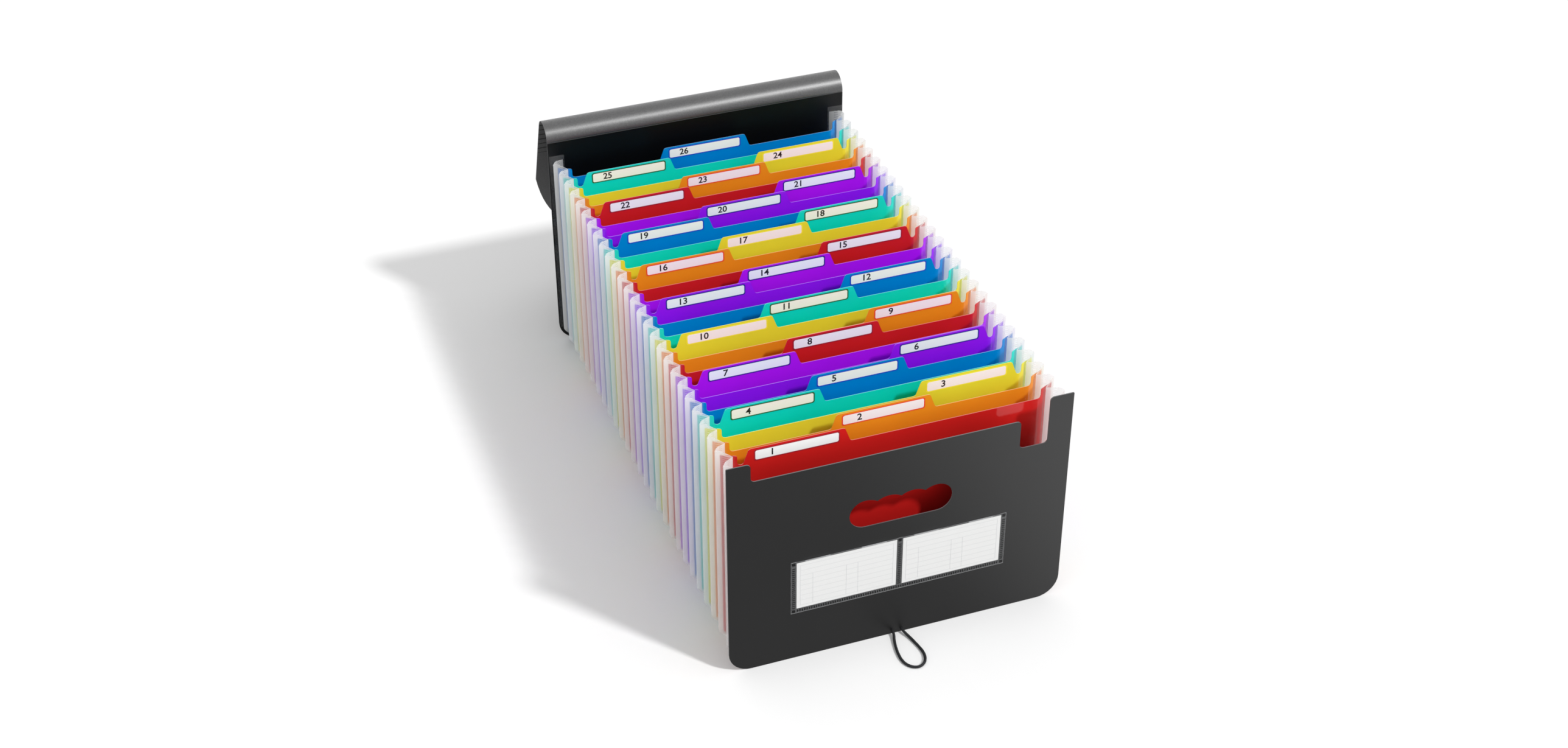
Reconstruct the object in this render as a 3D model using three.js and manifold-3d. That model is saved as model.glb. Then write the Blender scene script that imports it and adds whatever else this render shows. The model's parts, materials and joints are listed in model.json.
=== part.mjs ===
// An upright expanding file. Two stiff black panels hold a row of tabbed dividers between pleated film
// sides, a clear label sleeve sits on the front, and a scored lid rolls back behind the rear panel.
// Millimetres, +Z up, the front panel faces -Y.

import * as THREE from "three";
import { mergeVertices } from "three/addons/utils/BufferGeometryUtils.js";
import Module from "manifold-3d";

// Black sheet of the panels and the lid
const PANEL_WIDTH = 330;
const PANEL_HEIGHT = 235;
const SHEET = 1;
const PANEL_CORNER = 22;

// Cut top edge of the front panel: two ears, a lower edge between them and a thumb notch
const TOP_EDGE_DROP = 19.5;
const LEFT_EAR = 22.5;
const RIGHT_EAR = 23.4;
const NOTCH_WIDTH = 27.5;
const NOTCH_DEPTH = 30.5;
const CUT_FILLET = 4;
const EAR_CORNER = 1;

// Carrying hole with finger scallops along its top
const HANDLE_LOW = 136;
const HANDLE_HEIGHT = 30;
const FINGER_COUNT = 4;
const FINGER_PITCH = 23.2;
const FINGER_DIP = 3.5;

// Label sleeve of clear film, welded on three sides and along its middle, with a card in each half
const SLEEVE_LOW = 54;
const SLEEVE_HEIGHT = 60;
const CARD_WIDTH = 97;
const CARD_HEIGHT = 53;
const CARD_THICKNESS = 0.3;
const CARD_PLAY = 0.4;
const CARD_SLACK = 0.12;
const SLEEVE_BORDER = 5;
const SLEEVE_SEAM = 5.2;
const SLEEVE_FILM = 0.25;
const SLEEVE_SEAT = 0.1;

// Dividers: thin coloured sheets, each with one of three tab places
const DIVIDER_COUNT = 26;
const POCKET_PITCH = 20.95;
const FRONT_POCKET = 25;
const REAR_POCKET = 22;
const DIVIDER_SHEET = 0.5;
const DIVIDER_LOW = 12;
const DIVIDER_DROP = 19;
const DIVIDER_CORNER = 6;
const SHOULDER_WIDTH = 3.6;
const SHOULDER_RISE = 9.8;
const TAB_PLACES = 3;
const TAB_TOP_WIDTH = 89.8;
const TAB_NOTCH = 5;
const TAB_RISE = 15;
const TAB_SLANT = 5.4;
const TAB_FILLET = 3;

// Pleated film: side gussets between outer and inner folds, and a bellows under the dividers
const FILM = 0.3;
const WELD_GAP = 0.3;
const GUSSET_INSET = 2;
const PLEAT_DEPTH = 13.4;
const GUSSET_LOW = 18;
const GUSSET_DROP = 3;
const INNER_FOLD_DROP = 8.5;
const GUSSET_ROUND = 6;
const FLANGE_WIDTH = 16;
const FLANGE_EDGE = 1;
const BELLOWS_DROP = 7.5;

// Lid: one sheet scored into strips, curled back over the first of them, ending in a tongue
const CREASE_RISE = 13;
const SCORE_PITCH = 7.4;
const SCORE_COUNT = 13;
const CURL_SCORES = 6;
const CURL_ANGLE = THREE.MathUtils.degToRad(159);
const SCORE_GAP = 0.5;
const FLAP_STRAIGHT = 45;
const TONGUE_LENGTH = 95;
const TONGUE_END_WIDTH = 220;
const TONGUE_CURVE_IN = 15;
const TONGUE_CURVE_DOWN = 75;

// Button on the lid that takes the elastic loop
const BUTTON_FROM_END = 18;
const BUTTON_HEAD = 6.5;
const BUTTON_NECK = 3.2;
const BUTTON_NECK_HEIGHT = 3.6;
const BUTTON_DOME = 2.6;
const RIVET_RADIUS = 6;
const RIVET_HEIGHT = 1.2;
const SHANK_RADIUS = 2;
const SEAT_GAP = 0.3;

// Elastic loop, its two holes near the lower edge and the bead that stops each end behind the panel
const CORD_DIAMETER = 2.7;
const LOOP_SPREAD = 9.4;
const LOOP_HEIGHT = 3.4;
const LOOP_CLEARANCE = 0.3;
const LOOP_TAIL = 1;
const STOP_RADIUS = 2.5;
const STOP_LENGTH = 3.2;
const CORD_SIDES = 8;
const CORD_STEPS = 56;

// Smoothness of rounded outlines
const FILLET_STEPS = 4;
const CURL_STEPS = 3;
const TURN_STEPS = 20;

// Sizes that follow from those above
const HALF_WIDTH = PANEL_WIDTH / 2;
const REAR_FACE = SHEET + FRONT_POCKET + (DIVIDER_COUNT - 1) * POCKET_PITCH + REAR_POCKET;
const CREASE_HEIGHT = PANEL_HEIGHT + CREASE_RISE;
const CURL_RADIUS = (CURL_SCORES * SCORE_PITCH) / CURL_ANGLE;
const FLARE = Math.PI - CURL_ANGLE;
const LID_MIDDLE = REAR_FACE + SHEET / 2;
const FLAP_LENGTH = FLAP_STRAIGHT + TONGUE_LENGTH;
const GUSSET_OUTER = HALF_WIDTH - GUSSET_INSET;
const GUSSET_INNER = GUSSET_OUTER - PLEAT_DEPTH;
const GUSSET_OUTER_TOP = PANEL_HEIGHT - GUSSET_DROP;
const GUSSET_INNER_TOP = PANEL_HEIGHT - INNER_FOLD_DROP;
const DIVIDER_HALF_WIDTH = GUSSET_INNER - FILM - WELD_GAP;
const DIVIDER_EDGE = PANEL_HEIGHT - DIVIDER_DROP;
const SHOULDER_EDGE = DIVIDER_HALF_WIDTH - SHOULDER_WIDTH;
const TAB_HALF_TOP = TAB_TOP_WIDTH / 2;
const TAB_HALF_BASE = TAB_HALF_TOP + TAB_SLANT;
const OUTER_TAB = SHOULDER_EDGE - TAB_NOTCH - TAB_HALF_BASE;
const POCKET_DEPTH = CARD_THICKNESS + 2 * CARD_SLACK;
const POCKET_WIDTH = CARD_WIDTH + 2 * CARD_PLAY;
const SLEEVE_WIDTH = 2 * POCKET_WIDTH + 2 * SLEEVE_BORDER + SLEEVE_SEAM;
const SLEEVE_DEPTH = POCKET_DEPTH + SLEEVE_FILM;

// Colours of the sheets, in the order in which the dividers repeat them
const BLACK = new THREE.MeshStandardMaterial({ color: 0x2c2c2d, roughness: 0.5, metalness: 0 });
const CLEAR = new THREE.MeshStandardMaterial({
  color: 0xe6eaec,
  roughness: 0.2,
  metalness: 0,
  transparent: true,
  opacity: 0.35,
});
const MILKY = new THREE.MeshStandardMaterial({
  color: 0xeef0f2,
  roughness: 0.4,
  metalness: 0,
  transparent: true,
  opacity: 0.55,
});
const PAPER = new THREE.MeshStandardMaterial({ color: 0xf2f2f0, roughness: 0.8, metalness: 0 });
const ELASTIC = new THREE.MeshStandardMaterial({ color: 0x1c1c1e, roughness: 0.75, metalness: 0 });
const DIVIDER_COLOURS = [0xaf161a, 0xd47d16, 0xd0be2d, 0x12b9a5, 0x0078c8, 0x801ed6, 0x9e16d6];
const DIVIDER_SHEETS = DIVIDER_COLOURS.map(
  (color) => new THREE.MeshStandardMaterial({ color, roughness: 0.4, metalness: 0 }),
);

const wasm = await Module();
wasm.setup();

// A closed geometry as a solid that can be cut or joined
function solidOf(geometry) {
  const bare = geometry.clone();
  bare.deleteAttribute("normal");
  bare.deleteAttribute("uv");
  const merged = mergeVertices(bare, 1e-4);
  const mesh = new wasm.Mesh({
    numProp: 3,
    vertProperties: merged.attributes.position.array,
    triVerts: new Uint32Array(merged.index.array),
  });
  return new wasm.Manifold(mesh);
}

function geometryOf(solid) {
  const { vertProperties, triVerts } = solid.getMesh();
  const geometry = new THREE.BufferGeometry();
  geometry.setAttribute("position", new THREE.BufferAttribute(vertProperties, 3));
  geometry.setIndex(new THREE.BufferAttribute(triVerts, 1));
  geometry.computeVertexNormals();
  return geometry;
}

// A closed outline through corners [x, y, radius], each rounded by an arc as far as its sides allow
function roundedOutline(corners) {
  const shape = new THREE.Shape();
  corners.forEach(([x, y, radius], i) => {
    const corner = new THREE.Vector2(x, y);
    const [backX, backY] = corners.at(i - 1);
    const [nextX, nextY] = corners[(i + 1) % corners.length];
    const back = new THREE.Vector2(backX - x, backY - y);
    const next = new THREE.Vector2(nextX - x, nextY - y);
    const room = 0.49 * Math.min(back.length(), next.length());
    back.normalize();
    next.normalize();
    const halfAngle = Math.acos(THREE.MathUtils.clamp(back.dot(next), -1, 1)) / 2;
    const reach = Math.min(radius / Math.tan(halfAngle), room);
    const turn = Math.PI - 2 * halfAngle;
    const handle = (4 / 3) * Math.tan(turn / 4) * reach * Math.tan(halfAngle);
    const start = corner.clone().addScaledVector(back, reach);
    const end = corner.clone().addScaledVector(next, reach);
    if (i === 0) {
      shape.moveTo(start.x, start.y);
    } else {
      shape.lineTo(start.x, start.y);
    }
    if (reach > 0) {
      const leave = start.clone().addScaledVector(back, -handle);
      const arrive = end.clone().addScaledVector(next, -handle);
      shape.bezierCurveTo(leave.x, leave.y, arrive.x, arrive.y, end.x, end.y);
    }
  });
  shape.closePath();
  return shape;
}

// A band of the given thickness along a line of points, mitred at its folds
function band(points, thickness) {
  const line = points.map(([a, b]) => new THREE.Vector2(a, b));
  const normals = line.slice(1).map((point, i) => {
    const along = point.clone().sub(line[i]).normalize();
    return new THREE.Vector2(-along.y, along.x);
  });
  const offsets = line.map((point, i) => {
    const before = normals[Math.max(i - 1, 0)];
    const after = normals[Math.min(i, normals.length - 1)];
    const mitre = before.clone().add(after).normalize();
    return mitre.multiplyScalar(thickness / 2 / mitre.dot(before));
  });
  const left = line.map((point, i) => point.clone().add(offsets[i]));
  const right = line.map((point, i) => point.clone().sub(offsets[i]));
  return new THREE.Shape([...left, ...right.reverse()]);
}

// A flat sheet that stands in the XZ plane, with its front at the given y
function uprightSheet(shape, thickness, front, steps = FILLET_STEPS) {
  const sheet = new THREE.ExtrudeGeometry(shape, {
    depth: thickness,
    bevelEnabled: false,
    curveSegments: steps,
  });
  return sheet.rotateX(Math.PI / 2).translate(0, front + thickness, 0);
}

// A profile in the YZ plane, drawn out along X and centred on it
function drawnAlongX(shape, length, steps = FILLET_STEPS) {
  const bar = new THREE.ExtrudeGeometry(shape, {
    depth: length,
    bevelEnabled: false,
    curveSegments: steps,
  });
  const turned = new THREE.Matrix4().makeBasis(
    new THREE.Vector3(0, 1, 0),
    new THREE.Vector3(0, 0, 1),
    new THREE.Vector3(1, 0, 0),
  );
  return bar.applyMatrix4(turned).translate(-length / 2, 0, 0);
}

function piece(name, geometry, material) {
  const mesh = new THREE.Mesh(geometry, material);
  mesh.name = name;
  return mesh;
}

// Middle of a divider's sheet along the file, counted from the front
function dividerPlace(i) {
  return SHEET + FRONT_POCKET + i * POCKET_PITCH;
}

// Outline of the carrying hole: round ends and a row of finger arcs along the top
function handleHole() {
  const endRadius = HANDLE_HEIGHT / 2;
  const middle = HANDLE_LOW + endRadius;
  const reach = ((FINGER_COUNT - 1) / 2) * FINGER_PITCH;
  const fingerRadius = ((FINGER_PITCH / 2) ** 2 + FINGER_DIP ** 2) / (2 * FINGER_DIP);
  const sweep = Math.asin(FINGER_PITCH / 2 / fingerRadius);
  const up = Math.PI / 2;
  const hole = new THREE.Path();
  hole.absarc(-reach, middle, endRadius, -up, up, true);
  for (let finger = 0; finger < FINGER_COUNT; finger += 1) {
    const from = finger > 0 ? up + sweep : up;
    const to = finger < FINGER_COUNT - 1 ? up - sweep : up;
    const place = finger * FINGER_PITCH - reach;
    hole.absarc(place, HANDLE_LOW + HANDLE_HEIGHT - fingerRadius, fingerRadius, from, to, true);
  }
  hole.absarc(reach, middle, endRadius, up, -up, true);
  return hole;
}

function cordHole(x) {
  const hole = new THREE.Path();
  hole.absarc(x, LOOP_HEIGHT, CORD_DIAMETER / 2 + LOOP_CLEARANCE, 0, 2 * Math.PI, true);
  return hole;
}

function frontPanel() {
  const edge = PANEL_HEIGHT - TOP_EDGE_DROP;
  const leftEar = LEFT_EAR - HALF_WIDTH;
  const rightEar = HALF_WIDTH - RIGHT_EAR;
  const notch = rightEar - NOTCH_WIDTH;
  const outline = roundedOutline([
    [-HALF_WIDTH, 0, PANEL_CORNER],
    [HALF_WIDTH, 0, PANEL_CORNER],
    [HALF_WIDTH, PANEL_HEIGHT, EAR_CORNER],
    [rightEar, PANEL_HEIGHT, CUT_FILLET],
    [rightEar, edge - NOTCH_DEPTH, CUT_FILLET],
    [notch, edge - NOTCH_DEPTH, CUT_FILLET],
    [notch, edge, CUT_FILLET],
    [leftEar, edge, CUT_FILLET],
    [leftEar, PANEL_HEIGHT, CUT_FILLET],
    [-HALF_WIDTH, PANEL_HEIGHT, EAR_CORNER],
  ]);
  outline.holes.push(handleHole(), cordHole(-LOOP_SPREAD / 2), cordHole(LOOP_SPREAD / 2));
  return uprightSheet(outline, SHEET, 0, 2 * FILLET_STEPS);
}

function rearPanel() {
  const top = CREASE_HEIGHT - SCORE_GAP / 2;
  const outline = roundedOutline([
    [-HALF_WIDTH, 0, PANEL_CORNER],
    [HALF_WIDTH, 0, PANEL_CORNER],
    [HALF_WIDTH, top, 0],
    [-HALF_WIDTH, top, 0],
  ]);
  return uprightSheet(outline, SHEET, REAR_FACE, 2 * FILLET_STEPS);
}

// Clear sleeve: a thin plate whose back is hollowed into two card pockets that open at the top
function labelSleeve() {
  const plate = new THREE.BoxGeometry(SLEEVE_WIDTH, SLEEVE_DEPTH, SLEEVE_HEIGHT);
  plate.translate(0, -SLEEVE_SEAT - SLEEVE_DEPTH / 2, SLEEVE_LOW + SLEEVE_HEIGHT / 2);
  let sleeve = solidOf(plate);
  for (const side of [-1, 1]) {
    const pocket = new THREE.BoxGeometry(POCKET_WIDTH, 2 * POCKET_DEPTH, SLEEVE_HEIGHT);
    pocket.translate(side * cardPlace(), -SLEEVE_SEAT, cardLow() - CARD_PLAY + SLEEVE_HEIGHT / 2);
    sleeve = sleeve.subtract(solidOf(pocket));
  }
  return geometryOf(sleeve);
}

function cardPlace() {
  return SLEEVE_SEAM / 2 + POCKET_WIDTH / 2;
}

function cardLow() {
  return SLEEVE_LOW + SLEEVE_BORDER + CARD_PLAY;
}

function labelCard(side) {
  const card = new THREE.BoxGeometry(CARD_WIDTH, CARD_THICKNESS, CARD_HEIGHT);
  const depth = -SLEEVE_SEAT - CARD_SLACK - CARD_THICKNESS / 2;
  return card.translate(side * cardPlace(), depth, cardLow() + CARD_HEIGHT / 2);
}

// Divider: shoulders at both sides, a straight edge and one tab with slanted sides
function divider(i) {
  const half = DIVIDER_HALF_WIDTH;
  const shoulder = DIVIDER_EDGE + SHOULDER_RISE;
  const tab = OUTER_TAB * ((2 * (i % TAB_PLACES)) / (TAB_PLACES - 1) - 1);
  const outline = roundedOutline([
    [-half, DIVIDER_LOW, DIVIDER_CORNER],
    [half, DIVIDER_LOW, DIVIDER_CORNER],
    [half, shoulder, 0],
    [SHOULDER_EDGE, shoulder, TAB_FILLET / 2],
    [SHOULDER_EDGE, DIVIDER_EDGE, TAB_FILLET],
    [tab + TAB_HALF_BASE, DIVIDER_EDGE, TAB_FILLET],
    [tab + TAB_HALF_TOP, DIVIDER_EDGE + TAB_RISE, TAB_FILLET],
    [tab - TAB_HALF_TOP, DIVIDER_EDGE + TAB_RISE, TAB_FILLET],
    [tab - TAB_HALF_BASE, DIVIDER_EDGE, TAB_FILLET],
    [-SHOULDER_EDGE, DIVIDER_EDGE, TAB_FILLET],
    [-SHOULDER_EDGE, shoulder, TAB_FILLET / 2],
    [-half, shoulder, 0],
  ]);
  return uprightSheet(outline, DIVIDER_SHEET, dividerPlace(i) - DIVIDER_SHEET / 2, FILLET_STEPS - 1);
}

// Pleated side: outer folds halfway between the sheets, inner folds at the dividers, and a flange that
// is welded to each panel
function gusset(side) {
  const front = SHEET + WELD_GAP + FILM / 2;
  const rear = REAR_FACE - WELD_GAP - FILM / 2;
  const sheets = [front, ...Array.from({ length: DIVIDER_COUNT }, (_, i) => dividerPlace(i)), rear];
  const folds = [];
  sheets.forEach((place, i) => {
    if (i > 0) {
      folds.push([side * GUSSET_OUTER, (sheets[i - 1] + place) / 2]);
    }
    folds.push([side * GUSSET_INNER, place]);
  });
  const height = GUSSET_OUTER_TOP - GUSSET_LOW;
  const pleats = new THREE.ExtrudeGeometry(band(folds, FILM), { depth: height, bevelEnabled: false });
  pleats.translate(0, 0, GUSSET_LOW);
  const inner = side * (GUSSET_INNER - FILM);
  const outer = side * (GUSSET_OUTER + FILM);
  const trimmed = roundedOutline([
    [inner, GUSSET_LOW - FILM, 0],
    [outer, GUSSET_LOW - FILM, GUSSET_ROUND],
    [outer, GUSSET_OUTER_TOP, GUSSET_ROUND],
    [inner, GUSSET_INNER_TOP, 0],
  ]);
  const reach = rear - front + 4 * FILM;
  const trim = uprightSheet(trimmed, reach, front - 2 * FILM, FILLET_STEPS - 1);
  let film = solidOf(pleats).intersect(solidOf(trim));
  for (const place of [front, rear]) {
    const flange = new THREE.BoxGeometry(FLANGE_WIDTH, FILM, height);
    const middle = HALF_WIDTH - FLANGE_EDGE - FLANGE_WIDTH / 2;
    flange.translate(side * middle, place, GUSSET_LOW + height / 2);
    film = film.add(solidOf(flange));
  }
  return geometryOf(film);
}

// Bellows that closes the pockets below: high folds under the dividers, low folds between them
function baseBellows() {
  const front = SHEET + WELD_GAP + FILM;
  const rear = REAR_FACE - WELD_GAP - FILM;
  const high = DIVIDER_LOW - WELD_GAP - FILM;
  const sheets = [front, ...Array.from({ length: DIVIDER_COUNT }, (_, i) => dividerPlace(i)), rear];
  const folds = [];
  sheets.forEach((place, i) => {
    if (i > 0) {
      folds.push([(sheets[i - 1] + place) / 2, high - BELLOWS_DROP]);
    }
    folds.push([place, high]);
  });
  return drawnAlongX(band(folds, FILM), 2 * DIVIDER_HALF_WIDTH);
}

// Middle line of the lid, by its length from the crease: an arc back over the top, then straight down
function lidLine(length) {
  const curled = Math.min(length, CURL_SCORES * SCORE_PITCH);
  const angle = curled / CURL_RADIUS;
  const beyond = length - curled;
  const y = LID_MIDDLE + CURL_RADIUS * (1 - Math.cos(angle)) + beyond * Math.sin(angle);
  const z = CREASE_HEIGHT + CURL_RADIUS * Math.sin(angle) + beyond * Math.cos(angle);
  return { y, z, angle };
}

function lidStrip(k) {
  const from = k * SCORE_PITCH + SCORE_GAP / 2;
  const to = (k + 1) * SCORE_PITCH - SCORE_GAP / 2;
  const steps = k < CURL_SCORES ? CURL_STEPS : 1;
  const line = Array.from({ length: steps + 1 }, (_, i) => lidLine(from + ((to - from) * i) / steps));
  const side = (way) =>
    line.map(({ y, z, angle }) => {
      const out = (way * SHEET) / 2;
      return new THREE.Vector2(y + out * Math.cos(angle), z - out * Math.sin(angle));
    });
  return drawnAlongX(new THREE.Shape([...side(1), ...side(-1).reverse()]), PANEL_WIDTH);
}

// Lid flap, drawn hanging from its last score at the origin
function lidFlap() {
  const end = -FLAP_LENGTH;
  const shoulder = -FLAP_STRAIGHT;
  const curveX = HALF_WIDTH - TONGUE_CURVE_IN;
  const curveZ = shoulder - TONGUE_CURVE_DOWN;
  const outline = new THREE.Shape();
  outline.moveTo(-HALF_WIDTH, -SCORE_GAP / 2);
  outline.lineTo(-HALF_WIDTH, shoulder);
  outline.quadraticCurveTo(-curveX, curveZ, -TONGUE_END_WIDTH / 2, end);
  outline.lineTo(TONGUE_END_WIDTH / 2, end);
  outline.quadraticCurveTo(curveX, curveZ, HALF_WIDTH, shoulder);
  outline.lineTo(HALF_WIDTH, -SCORE_GAP / 2);
  outline.closePath();
  const hole = new THREE.Path();
  hole.absarc(0, BUTTON_FROM_END - FLAP_LENGTH, SHANK_RADIUS + SEAT_GAP, 0, 2 * Math.PI, true);
  outline.holes.push(hole);
  return uprightSheet(outline, SHEET, -SHEET / 2, 3 * FILLET_STEPS);
}

// Button: a rivet plate, a shank through the flap, a neck and a domed head
function lidButton() {
  const seat = SHEET / 2 + SEAT_GAP;
  const underHead = seat + BUTTON_NECK_HEIGHT;
  const rim = underHead + BUTTON_DOME / 2;
  const profile = [
    [0, -seat - RIVET_HEIGHT],
    [RIVET_RADIUS, -seat - RIVET_HEIGHT],
    [RIVET_RADIUS, -seat],
    [SHANK_RADIUS, -seat],
    [SHANK_RADIUS, seat],
    [BUTTON_NECK, seat],
    [BUTTON_NECK, underHead],
    [BUTTON_HEAD, underHead],
    [BUTTON_HEAD, rim],
    [BUTTON_NECK, underHead + BUTTON_DOME],
    [0, underHead + BUTTON_DOME],
  ];
  const points = profile.map(([radius, along]) => new THREE.Vector2(radius, along));
  return new THREE.LatheGeometry(points, TURN_STEPS);
}

// Route of the elastic loop: out of one hole, down to the floor, round a drop shape and back in
const LOOP_ROUTE = [
  [-4.7, 2, 3.4],
  [-4.7, -2.6, 3.4],
  [-5.5, -6.8, 2.7],
  [-6.9, -11, 1.9],
  [-8.5, -17, 1.6],
  [-9.9, -24, 1.5],
  [-10.7, -31, 1.5],
  [-10.8, -38, 1.5],
  [-9.2, -45, 1.5],
  [-5, -50.4, 1.5],
  [1, -52.3, 1.5],
  [6.6, -49.6, 1.5],
  [10.4, -43.8, 1.5],
  [11.9, -36, 1.5],
  [11.2, -28, 1.5],
  [9.6, -19.5, 1.5],
  [7.8, -12, 1.8],
  [5.9, -6.8, 2.7],
  [4.7, -2.6, 3.4],
  [4.7, 2, 3.4],
];

function elasticLoop() {
  const route = new THREE.CatmullRomCurve3(LOOP_ROUTE.map((point) => new THREE.Vector3(...point)));
  const section = Array.from({ length: CORD_SIDES }, (_, i) => {
    const angle = (2 * Math.PI * i) / CORD_SIDES;
    return new THREE.Vector2(Math.cos(angle), Math.sin(angle)).multiplyScalar(CORD_DIAMETER / 2);
  });
  return new THREE.ExtrudeGeometry(new THREE.Shape(section), {
    steps: CORD_STEPS,
    extrudePath: route,
    bevelEnabled: false,
  });
}

// Bead that grips one end of the loop behind the panel
function loopStop(x) {
  const end = SHEET + LOOP_TAIL + LOOP_CLEARANCE;
  const bead = new THREE.CylinderGeometry(STOP_RADIUS, STOP_RADIUS * 0.8, STOP_LENGTH, TURN_STEPS / 2);
  return bead.translate(x, end + STOP_LENGTH / 2, LOOP_HEIGHT);
}

const folder = new THREE.Group();
folder.add(piece("rear_panel", rearPanel(), BLACK));
folder.add(piece("gusset_left", gusset(-1), MILKY));
folder.add(piece("gusset_right", gusset(1), MILKY));
folder.add(piece("base_bellows", baseBellows(), MILKY));
folder.add(piece("front_panel", frontPanel(), BLACK));
folder.add(piece("label_sleeve", labelSleeve(), CLEAR));
folder.add(piece("card_left", labelCard(-1), PAPER));
folder.add(piece("card_right", labelCard(1), PAPER));
folder.add(piece("loop_stop_left", loopStop(-LOOP_SPREAD / 2), ELASTIC));
folder.add(piece("loop_stop_right", loopStop(LOOP_SPREAD / 2), ELASTIC));

for (let i = 0; i < DIVIDER_COUNT; i += 1) {
  const name = `divider_${String(i + 1).padStart(2, "0")}`;
  folder.add(piece(name, divider(i), DIVIDER_SHEETS[i % DIVIDER_SHEETS.length]));
}

for (let k = 0; k < SCORE_COUNT - 1; k += 1) {
  const name = `lid_strip_${String(k + 1).padStart(2, "0")}`;
  folder.add(piece(name, lidStrip(k), BLACK));
}

const flap = new THREE.Group();
const lastScore = lidLine((SCORE_COUNT - 1) * SCORE_PITCH);
flap.position.set(0, lastScore.y, lastScore.z);
flap.rotation.x = FLARE;
flap.add(piece("lid_flap", lidFlap(), BLACK));
const button = piece("lid_button", lidButton(), BLACK);
button.position.z = BUTTON_FROM_END - FLAP_LENGTH;
button.rotation.x = Math.PI;
flap.add(button);
folder.add(flap);

// The origin is on the floor, under the middle of the file without its loop
const reach = new THREE.Box3().setFromObject(folder);
folder.position.y = -(reach.min.y + reach.max.y) / 2;
folder.add(piece("elastic_loop", elasticLoop(), ELASTIC));

const file = new THREE.Group();
file.add(folder);

export default file;
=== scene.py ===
# %% [markdown]
# # An open expanding file
#
# The file is two stiff black panels with twenty-six coloured dividers between them. Pleated milky film
# joins everything at the sides and below, a clear sleeve with two ruled cards is welded to the front,
# and the lid rolls back behind the rear panel. The construction is already packed as solids, so this
# lesson only dresses it: every piece below is measured from those solids, and all but the lid's rolled
# stretches move with one of them.

import json
import math

import bmesh
import bpy
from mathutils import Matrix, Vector


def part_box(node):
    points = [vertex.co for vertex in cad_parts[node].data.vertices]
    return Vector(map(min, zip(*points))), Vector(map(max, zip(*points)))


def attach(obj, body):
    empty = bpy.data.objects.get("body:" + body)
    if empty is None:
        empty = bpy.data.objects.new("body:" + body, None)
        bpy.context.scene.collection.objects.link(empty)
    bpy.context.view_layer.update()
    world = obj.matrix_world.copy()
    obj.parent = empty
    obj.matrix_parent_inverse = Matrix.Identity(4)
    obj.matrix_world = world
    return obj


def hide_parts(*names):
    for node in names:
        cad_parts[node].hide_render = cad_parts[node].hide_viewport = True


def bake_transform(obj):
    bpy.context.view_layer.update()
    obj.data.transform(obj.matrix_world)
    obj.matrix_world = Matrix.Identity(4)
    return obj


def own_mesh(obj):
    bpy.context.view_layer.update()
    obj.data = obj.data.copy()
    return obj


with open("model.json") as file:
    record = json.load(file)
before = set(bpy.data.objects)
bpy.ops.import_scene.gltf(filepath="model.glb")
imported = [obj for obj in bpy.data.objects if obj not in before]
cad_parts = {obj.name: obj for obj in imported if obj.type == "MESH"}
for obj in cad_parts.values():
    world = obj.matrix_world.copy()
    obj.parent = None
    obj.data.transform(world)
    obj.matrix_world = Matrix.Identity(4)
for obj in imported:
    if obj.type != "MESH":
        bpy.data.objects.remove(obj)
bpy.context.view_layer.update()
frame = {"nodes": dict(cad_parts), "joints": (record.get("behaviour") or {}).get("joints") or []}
scene = bpy.context.scene
scene.view_settings.view_transform = "Standard"
MM = 0.001

# %% [markdown]
# ## Sizes that everything follows
#
# Nothing here repeats a size that the solids already hold. The panels give the width, the height and
# the two ends of the row, and the dividers give the pitch of the pleats.

# %% Read the main sizes from the solids
front_low, front_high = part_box("front_panel")
rear_low, rear_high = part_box("rear_panel")
DIVIDERS = sorted(name for name in frame["nodes"] if name.startswith("divider_"))
divider_boxes = [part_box(name) for name in DIVIDERS]
divider_middles = [(low.y + high.y) / 2 for low, high in divider_boxes]
HALF_WIDTH = front_high.x
PITCH = divider_middles[1] - divider_middles[0]
DIVIDER_EDGE = divider_boxes[0][1].x
SHOULDER_RISE = 9.8 * MM
TAB_RISE = 15 * MM
SHOULDER_TOP = divider_boxes[0][1].z - TAB_RISE + SHOULDER_RISE
print(f"row of {len(DIVIDERS)} dividers, {PITCH / MM:.2f} mm apart")

# %% [markdown]
# ## Camera
#
# The photograph was taken from the front left, about thirty-five degrees above the table, with a lens
# that is a little longer than normal. The place was worked out from the panel's four corners and the
# row of dividers, so it is given from the front panel's foot.

# %% Set the camera
CAMERA_FROM_PANEL = Vector((-653.85, -1478.49, 1442.84)) * MM
CAMERA_TILT = math.radians(54.58)
CAMERA_TURN = math.radians(-20.13)
CAMERA_LENS = 52.894

camera = bpy.data.objects.new("camera", bpy.data.cameras.new("camera"))
camera.data.lens = CAMERA_LENS
camera.location = CAMERA_FROM_PANEL + Vector((0, front_low.y, 0))
camera.rotation_euler = (CAMERA_TILT, 0, CAMERA_TURN)
scene.collection.objects.link(camera)
scene.camera = camera
print("camera at", [round(value, 3) for value in camera.location])

# %% [markdown]
# ## Node trees written as Python
#
# Finishes and repeats are both node trees. Clicking nodes together can't be read back later, so two
# small classes build them in code. `Socket` stands for one output and lets numbers be worked out with
# plain operators, and `Graph.node` is the only place where a node is made: its type, its settings and
# then the values or links of its sockets.

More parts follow.
